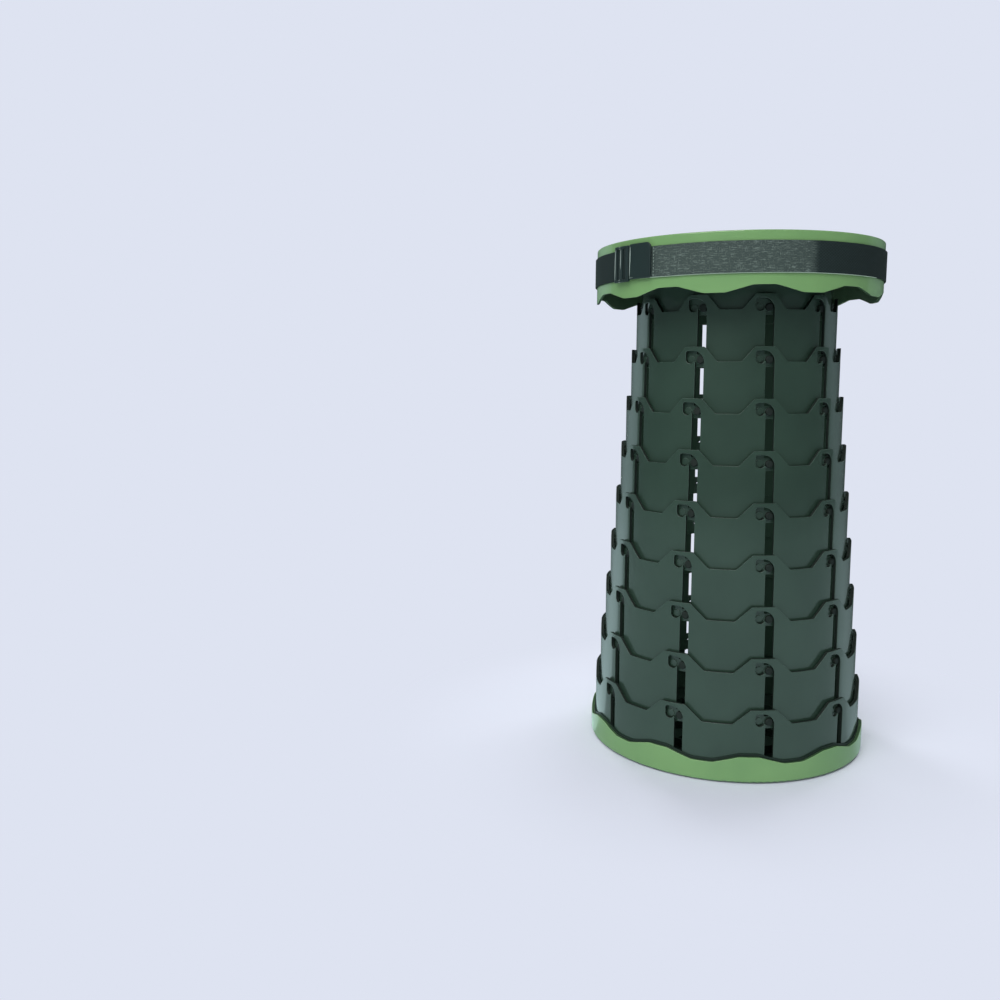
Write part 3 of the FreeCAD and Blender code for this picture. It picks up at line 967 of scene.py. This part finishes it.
def add_bead(mesh: bmesh.types.BMesh, degrees: float, radius: float, rise: float,
             size: Sequence[float], lean: float = 0.0) -> None:
    """Long drop that lies half sunk in a round surface.

    Args:
        mesh: The bmesh to add to.
        degrees: Angle from the front.
        radius: Radius of the surface.
        rise: Height of its middle.
        size: Width round the surface, thickness and height.
        lean: Degrees by which it leans out of the upright.
    """
    turn = Matrix.Rotation(math.radians(degrees), 4, "Z")
    place = Matrix.Translation((0.0, -radius, rise))
    tilt = Matrix.Rotation(math.radians(lean), 4, "Y")
    shape = Matrix.Diagonal((size[0] / 2, size[1] / 2, size[2] / 2, 1.0))
    bmesh.ops.create_icosphere(mesh, subdivisions=2, radius=1.0,
                               matrix=turn @ place @ tilt @ shape)


def reach_of(node: str) -> float:
    """Largest distance of a CAD node from the axis."""
    return max(vert.co.xy.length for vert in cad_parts[node].data.vertices)


@dataclass
class ThreadedEnd:
    """End of the webbing where it shows in the slider's two windows."""

    windows: tuple[tuple[float, float], ...] = ((-49.3, -47.5), (-45.9, -44.1))
    foot: float = 0.4 * MM
    sunk: float = 0.7 * MM
    rail: float = 2.6 * MM
    bow: float = 0.5 * MM
    slack: float = math.radians(0.2)
    steps: int = 6

    def build(self, finishes: Finishes) -> list[bpy.types.Object]:
        """Make the two strips of webbing.

        Args:
            finishes: Every material of the stool.

        Returns:
            The piece, alone in its list.
        """
        low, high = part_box("strap_slider")
        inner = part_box("strap_band")[1].x + self.foot
        mesh = bmesh.new()
        layer = mesh.loops.layers.uv.new("webbing")
        for start, end in self.windows:
            self.add_strip(mesh, inner, inner + self.height(), math.radians(start),
                           math.radians(end), low.z + self.rail, high.z - self.rail)
        bmesh.ops.recalc_face_normals(mesh, faces=mesh.faces)
        for face in mesh.faces:
            for loop in face.loops:
                angle = math.atan2(loop.vert.co.x, -loop.vert.co.y)
                loop[layer].uv = (angle * inner, loop.vert.co.z)
        return [finish_piece("webbing_end", mesh, [finishes["webbing"]], Body.SEAT)]

    def height(self) -> float:
        """How far the strips rise from the band, below the slider's outer face."""
        return reach_of("strap_slider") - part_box("strap_band")[1].x - self.foot - self.sunk

    def add_strip(self, mesh: bmesh.types.BMesh, inner: float, outer: float, start: float,
                  end: float, low: float, high: float) -> None:
        """Bowed block of webbing between two angles from the front.

        Args:
            mesh: The bmesh to work on.
            inner: Radius of its inner face.
            outer: Radius of its outer face at its middle.
            start: First angle from the front, in radians.
            end: Last angle.
            low: Height of its lower edge.
            high: Height of its upper edge.
        """
        corners = ((inner, low), (outer, low), (outer, high), (inner, high))
        toward = Vector((math.sin(start), -math.cos(start), 0.0))
        verts = [mesh.verts.new(toward * radius + Vector((0, 0, z))) for radius, z in corners]
        cap = mesh.faces.new(verts)
        spun = bmesh.ops.spin(mesh, geom=list(cap.edges), cent=(0, 0, 0), axis=(0, 0, 1),
                              angle=end - start, steps=self.steps, use_merge=False,
                              use_duplicate=False)
        last = [part for part in spun["geom_last"] if isinstance(part, bmesh.types.BMEdge)]
        bmesh.ops.contextual_create(mesh, geom=last)
        middle = (start + end) / 2
        for vert in mesh.verts:
            angle = math.atan2(vert.co.x, -vert.co.y)
            near = start - self.slack < angle < end + self.slack
            if near and vert.co.xy.length > (inner + outer) / 2:
                off = 2.0 * (angle - middle) / (end - start)
                vert.co.xy *= (outer - self.bow * off ** 2) / vert.co.xy.length


@dataclass(frozen=True)
class Ridge:
    """One ridge that carries a painted glint: its angle from the front, its size, and how far above
    the middle it lies.
    """

    degrees: float
    width: float
    length: float
    rise: float = 0.0
    lean: float = 0.0


@dataclass
class Ridges:
    """Ridges on the slider's bars and along the keeper's left edge, coloured pale as a painted
    glint.
    """

    thickness: float = 0.5 * MM
    on_slider: tuple[Ridge, ...] = (Ridge(-50.3, 0.9 * MM, 27.0 * MM, lean=1.5),
                                    Ridge(-46.9, 0.8 * MM, 17.0 * MM, rise=4.0 * MM))
    on_keeper: tuple[Ridge, ...] = (Ridge(-42.0, 1.3 * MM, 15.0 * MM, rise=6.0 * MM),
                                    Ridge(-42.1, 0.8 * MM, 15.0 * MM, rise=-4.0 * MM))

    def build(self, finishes: Finishes) -> list[bpy.types.Object]:
        """Make the ridges as one piece.

        Args:
            finishes: Every material of the stool.

        Returns:
            The piece, alone in its list.
        """
        low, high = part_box("strap_slider")
        middle = (low.z + high.z) / 2
        mesh = bmesh.new()
        for node, ridges in (("strap_slider", self.on_slider), ("strap_keeper", self.on_keeper)):
            radius = reach_of(node)
            for ridge in ridges:
                add_bead(mesh, ridge.degrees, radius, middle + ridge.rise,
                         (ridge.width, self.thickness, ridge.length), ridge.lean)
        return [finish_piece("slider_ridges", mesh, [finishes["strap_painted_glint"]], Body.SEAT,
                             smooth_degrees=180.0)]


@dataclass
class Stitches:
    """Pale thread: an upright row beside the keeper and a short row at its foot."""

    row_degrees: float = -31.2
    row_count: int = 9
    row_margin: float = 1.8 * MM
    foot_degrees: tuple[float, ...] = (-41.7, -40.8)
    foot_rise: float = 1.2 * MM
    length: float = 1.9 * MM
    width: float = 0.7 * MM
    thickness: float = 0.5 * MM

    def build(self, finishes: Finishes) -> list[bpy.types.Object]:
        """Make the stitches as one piece.

        Args:
            finishes: Every material of the stool.

        Returns:
            The piece, alone in its list.
        """
        low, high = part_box("strap_band")
        keeper = reach_of("strap_keeper")
        mesh = bmesh.new()
        step = (high.z - low.z - 2 * self.row_margin) / (self.row_count - 1)
        upright = (self.width, self.thickness, self.length)
        lying = (self.length, self.thickness, self.width)
        for index in range(self.row_count):
            add_bead(mesh, self.row_degrees, high.x, low.z + self.row_margin + index * step,
                     upright)
        for degrees in self.foot_degrees:
            add_bead(mesh, degrees, keeper, low.z + self.foot_rise, lying)
        return [finish_piece("keeper_stitches", mesh, [finishes["thread"]], Body.SEAT,
                             smooth_degrees=180.0)]


@dataclass
class CarryingLoop:
    """Slack of the webbing that stands out behind the seat."""

    edge_round: float = 0.3 * MM
    sharp_degrees: float = 60.0
    end_depth: float = 1.5 * MM

    def build(self, finishes: Finishes) -> list[bpy.types.Object]:
        """Dress the loop.

        Args:
            finishes: Every material of the stool.

        Returns:
            The piece, alone in its list.
        """
        mesh = merged_copy("strap_loop")
        along = self.lengths(mesh)
        layer = mesh.loops.layers.uv.new("webbing")
        for face in mesh.faces:
            for loop in face.loops:
                loop[layer].uv = (along[loop.vert.index], loop.vert.co.z)
        round_edges(mesh, self.edge_round, self.sharp_degrees)
        piece = finish_piece("webbing_loop", mesh, [finishes["webbing"]], Body.SEAT)
        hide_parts("strap_loop")
        return [piece]

    def lengths(self, mesh: bmesh.types.BMesh) -> dict[int, float]:
        """Length along the loop of each vertex, from its end on the +X side.

        Args:
            mesh: The bmesh to work on.

        Returns:
            Length by the index of the vertex.
        """
        mesh.verts.index_update()
        start_y = min(vert.co.y for vert in mesh.verts)
        found = {vert.index: 0.0 for vert in mesh.verts
                 if vert.co.x > 0.0 and vert.co.y < start_y + self.end_depth}
        mesh.verts.ensure_lookup_table()
        queue = [(0.0, index) for index in found]
        heapq.heapify(queue)
        while queue:
            length, index = heapq.heappop(queue)
            if length > found[index]:
                continue
            vert = mesh.verts[index]
            for edge in vert.link_edges:
                other = edge.other_vert(vert)
                reach = length + (other.co - vert.co).xy.length
                if reach < found.get(other.index, math.inf):
                    found[other.index] = reach
                    heapq.heappush(queue, (reach, other.index))
        return found


@dataclass(frozen=True)
class Panel:
    """Rectangular soft lamp that points at the stool."""

    name: str
    place: tuple[float, float, float]
    width: float
    height: float
    power: float
    aim_height: float = 0.2
    mirrored: bool = False

    def build(self) -> bpy.types.Object:
        """Make the lamp, hidden from the camera, and from glossy rays unless it is mirrored.

        Returns:
            The lamp's object.
        """
        data = bpy.data.lights.new(self.name, "AREA")
        data.shape = "RECTANGLE"
        data.size = self.width
        data.size_y = self.height
        data.energy = self.power
        lamp = bpy.data.objects.new(self.name, data)
        lamp.location = self.place
        lamp.visible_camera = False
        lamp.visible_glossy = self.mirrored
        aim = Vector((0.0, 0.0, self.aim_height)) - Vector(self.place)
        lamp.rotation_euler = aim.to_track_quat("-Z", "Y").to_euler()
        bpy.context.scene.collection.objects.link(lamp)
        return lamp


@dataclass
class Studio:
    """Camera, floor, backdrop and lamps."""

    camera_place: tuple[float, float, float] = (0.0, -0.909, 0.338)
    camera_turn: float = 13.6
    camera_tilt: float = -7.44
    sensor_width: float = 36.0
    focal_pixels: float = 955.0
    frame_pixels: float = 1000.0
    backdrop: Colour = srgb(222, 227, 241)
    brightest: float = 1.6
    reflected_tint: Colour = (0.78, 1.0, 0.9)
    reflected_behind: float = 0.85
    reflected_low_behind: float = 1.4
    reflected_fade: float = 0.85
    reflected_in_front: float = 0.1
    reflected_low_in_front: float = 0.55
    reflected_right: float = 0.5
    reflection_edge_degrees: float = 60.0
    reflection_border: tuple[float, float] = (-0.02, 0.03)
    reflection_sides: tuple[float, float] = (-0.1, 0.1)
    reflection_fall: tuple[float, float] = (0.05, 0.8)
    floor_fall: tuple[float, float] = (0.35, 2.5)
    shadow_reach: tuple[float, float] = (0.13, 0.34)
    column_radius: float = 0.105
    fill: float = 0.4
    inner_heights: tuple[float, ...] = (0.1, 0.22, 0.34)
    inner_power: float = 0.07
    inner_radius: float = 0.03
    floor_half: float = 8.0
    floor_drop: float = 0.0002

    def build(self) -> None:
        """Make the studio."""
        self.add_camera()
        self.add_floor()
        self.add_world()
        self.add_lamps()
        bpy.context.scene.view_settings.view_transform = "Standard"

    def add_camera(self) -> None:
        """Camera at the photograph's viewing angle."""
        data = bpy.data.cameras.new("camera")
        data.sensor_width = self.sensor_width
        data.lens = self.sensor_width * self.focal_pixels / self.frame_pixels
        camera = bpy.data.objects.new("camera", data)
        camera.location = self.camera_place
        camera.rotation_euler = (math.radians(90.0 + self.camera_tilt), 0.0,
                                 math.radians(self.camera_turn))
        bpy.context.scene.collection.objects.link(camera)
        bpy.context.scene.camera = camera

    def reflected(self, graph: Graph, x: Value, y: Value, front: Any, behind: Any,
                  start: float) -> Value:
        """Colour that glossy rays meet: bright behind the stool and darker in front of it.

        Args:
            graph: Node tree to add to.
            x: Place or direction to the right.
            y: Place or direction away from the camera.
            front: Brightness in front of the stool.
            behind: Brightness behind it, on the left.
            start: How far ahead of the axis the border begins.

        Returns:
            The colour.
        """
        turn = math.radians(self.reflection_edge_degrees)
        reach = ((x * x + y * y) ** 0.5).most(0.001)
        border = y * math.sin(turn) - x.size() * math.cos(turn) + start
        share = (border / reach).ramp(*self.reflection_border)
        side = (x / reach).ramp(*self.reflection_sides, 1.0, self.reflected_right)
        fade = (border / reach).ramp(*self.reflection_fall, 0.0, self.reflected_fade)
        side = side * (1.0 - fade)
        strength = (front + (side * behind - front) * share) / self.brightest
        bright = tuple(part * tint * self.brightest
                       for part, tint in zip(self.backdrop, self.reflected_tint))
        return graph.mixed(strength, (0.0, 0.0, 0.0), bright)

    def fading(self, reach: Value, near: float, far: float) -> Value:
        """Brightness of the floor for glossy rays, from near the stool to far away."""
        return reach.ramp(*self.floor_fall, near, far)

    def add_floor(self) -> None:
        """Plain pale floor that fades into the backdrop."""
        mesh = bmesh.new()
        bmesh.ops.create_grid(mesh, x_segments=2, y_segments=2, size=self.floor_half)
        bmesh.ops.translate(mesh, verts=mesh.verts, vec=(0.0, 0.0, -self.floor_drop))
        data = bpy.data.meshes.new("floor")
        mesh.to_mesh(data)
        mesh.free()
        graph = Graph("floor_sheet")
        x, y, _ = graph.parts(graph.place())
        reach = (x * x + y * y) ** 0.5
        far = reach.ramp(*self.shadow_reach)
        graph.finish(base_color=self.backdrop, roughness=0.9, specular_ior_level=0.0)
        camera = graph.node("ShaderNodeLightPath", {}, {}, "Is Camera Ray")
        glossy = graph.node("ShaderNodeLightPath", {}, {}, "Is Glossy Ray")
        seen = graph.node("ShaderNodeEmission", {}, [self.backdrop, 1.0])
        start = self.column_radius * math.sin(math.radians(90.0 - self.reflection_edge_degrees / 2))
        front = self.fading(reach, self.reflected_low_in_front, self.reflected_in_front)
        behind = self.fading(reach, self.reflected_low_behind, self.reflected_behind)
        mirror = self.reflected(graph, x, y, front, behind, start)
        mirrored = graph.node("ShaderNodeEmission", {}, [mirror, 1.0])
        sheet = Value(graph, graph.shader.outputs[0])
        near = graph.node("ShaderNodeMixShader", {}, [far * camera, sheet, seen])
        surface = graph.node("ShaderNodeMixShader", {}, [glossy, near, mirrored])
        graph.plug(graph.output.inputs[0], surface)
        data.materials.append(graph.material)
        floor = bpy.data.objects.new("floor", data)
        bpy.context.scene.collection.objects.link(floor)

    def add_world(self) -> None:
        """Backdrop for the camera, its reflection for glossy rays, and an even fill light."""
        world = bpy.data.worlds.new("backdrop")
        bpy.context.scene.world = world
        world.use_nodes = True
        graph = Graph.of_tree(world.node_tree)
        direction = graph.node("ShaderNodeTexCoord", {}, {}, "Generated")
        x, y, _ = graph.parts(direction)
        camera = graph.node("ShaderNodeLightPath", {}, {}, "Is Camera Ray")
        glossy = graph.node("ShaderNodeLightPath", {}, {}, "Is Glossy Ray")
        fill = graph.node("ShaderNodeBackground", {}, [(1.0, 1.0, 1.0), self.fill])
        mirror = self.reflected(graph, x, y, self.reflected_in_front, self.reflected_behind, 0.0)
        mirrored = graph.node("ShaderNodeBackground", {}, [mirror, 1.0])
        seen = graph.node("ShaderNodeBackground", {}, [self.backdrop, 1.0])
        lit = graph.node("ShaderNodeMixShader", {}, [glossy, fill, mirrored])
        surface = graph.node("ShaderNodeMixShader", {}, [camera, lit, seen])
        graph.add("ShaderNodeOutputWorld", {}, [surface])

    def add_lamps(self) -> None:
        """Large soft key high in front, weaker lamps round the stool and faint ones inside it."""
        panels = [
            Panel("key", (-0.5, -1.5, 1.9), 1.6, 1.6, 34.0, mirrored=True),
            Panel("back", (0.6, 1.6, 1.7), 1.4, 1.4, 14.0),
            Panel("low", (0.1, -1.0, 0.12), 0.6, 0.15, 0.8, aim_height=0.04),
            Panel("left rim", (-0.75, 1.1, 0.4), 0.4, 0.8, 9.0),
            Panel("right rim", (0.75, 1.1, 0.4), 0.4, 0.8, 4.0),
        ]
        for panel in panels:
            panel.build()
        for height in self.inner_heights:
            self.add_inner_lamp(height)

    def add_inner_lamp(self, height: float) -> None:
        """Faint lamp in the column, so that its slots don't look black.

        Args:
            height: Its height above the floor.
        """
        data = bpy.data.lights.new("inner", "POINT")
        data.energy = self.inner_power
        data.shadow_soft_size = self.inner_radius
        lamp = bpy.data.objects.new("inner", data)
        lamp.location = (0.0, 0.0, height)
        lamp.visible_camera = False
        lamp.visible_glossy = False
        bpy.context.scene.collection.objects.link(lamp)


def main() -> None:
    """Build the dressed stool and its studio."""
    logging.basicConfig(level=logging.INFO, format="%(name)s %(message)s")
    Studio().build()
    finishes = Finishes().build()
    assemblies: list[tuple[str, Callable[[Finishes], list[bpy.types.Object]]]] = [
        ("column", Column().build),
        ("shells", Shells().build),
        ("webbing", Webbing().build),
        ("webbing end", ThreadedEnd().build),
        ("stitches", Stitches().build),
        ("ridges", Ridges().build),
        ("carrying loop", CarryingLoop().build),
    ]
    for name, build in assemblies:
        for piece in build(finishes):
            LOG.info("%s: %s", name, piece.name)


if __name__ == "__main__":
    main()
